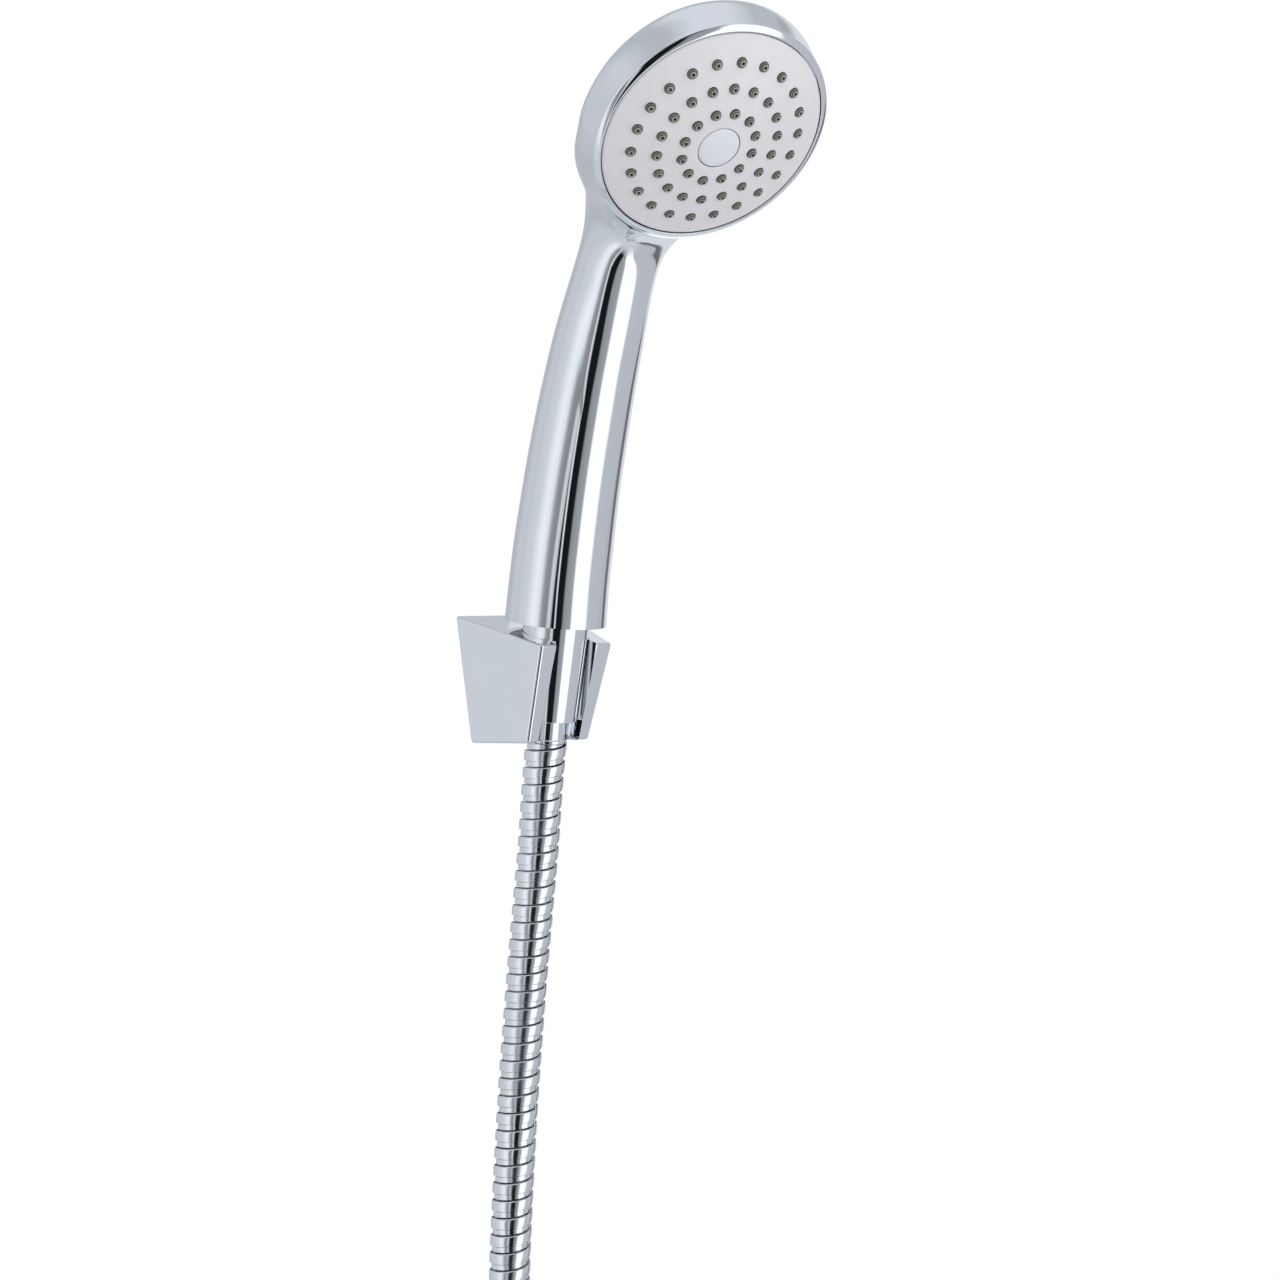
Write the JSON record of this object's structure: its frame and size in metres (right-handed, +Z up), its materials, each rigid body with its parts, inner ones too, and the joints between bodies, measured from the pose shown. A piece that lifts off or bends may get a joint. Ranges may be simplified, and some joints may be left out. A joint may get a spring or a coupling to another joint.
{
  "type": "handheld shower head",
  "caption": "Chrome handheld shower head with a round grey spray face, resting in its wall bracket, with a spiral metal hose.",
  "frame": {"origin": "centre of the bracket's back face, on the wall", "axes": "+Z up, +Y into the wall, the room towards -Y, +X along the wall to the right for someone facing the wall"},
  "size_m": [0.1403, 0.15, 0.7356],
  "materials": {
    "chrome": "polished",
    "chrome_hose": "polished",
    "face_grey": "satin",
    "cap_grey": "satin",
    "nozzle_rubber": "matte",
    "white_plastic": "satin",
    "black_rubber": "matte",
    "brass": "machined",
    "steel": "satin",
    "blue_plastic": "satin",
    "tie_black": "satin"
  },
  "bodies": {
    "bracket": {"holder_body": "chrome", "wall_plate": "steel", "locking_screw": "steel"},
    "hose_line": {"nipple_top": "brass", "ferrule_top": "chrome", "hose_lead": "chrome_hose", "hose_hank": "chrome_hose", "hose_tail": "chrome_hose", "tie_left": "tie_black", "tie_right": "tie_black", "ferrule_end": "chrome", "nipple_end": "brass"},
    "handset": {"handset_shell": "chrome", "handle_end_cap": "white_plastic", "head_bezel": "chrome", "face_plate": "face_grey", "nozzle_mat": "nozzle_rubber", "center_cap": "cap_grey", "center_screw": "steel", "spray_disc": "white_plastic", "chamber_seal": "black_rubber", "chamber_plate": "white_plastic", "water_tube": "white_plastic", "tube_seals": "black_rubber", "inlet_connector": "brass", "inlet_filter": "steel", "flow_regulator": "blue_plastic", "cone_nut": "chrome", "washer_top": "black_rubber"},
    "tap_end": {"tap_nut": "chrome", "washer_end": "black_rubber"}
  },
  "joints": [
    {"name": "handset_lift", "type": "slide", "parent": "bracket", "child": "hose_line", "axis": [0, -0.1392, 0.9903], "range_m": [0, 0.06]},
    {"name": "handset_swivel", "type": "hinge", "parent": "hose_line", "child": "handset", "pos_m": [0, -0.0238, 0], "axis": [0, -0.1392, 0.9903], "range_deg": [-60, 80]},
    {"name": "tap_nut_spin", "type": "hinge", "parent": "hose_line", "child": "tap_end", "pos_m": [-0.009, -0.0401, -0.49], "axis": [0, 0, 1], "continuous": true}
  ]
}
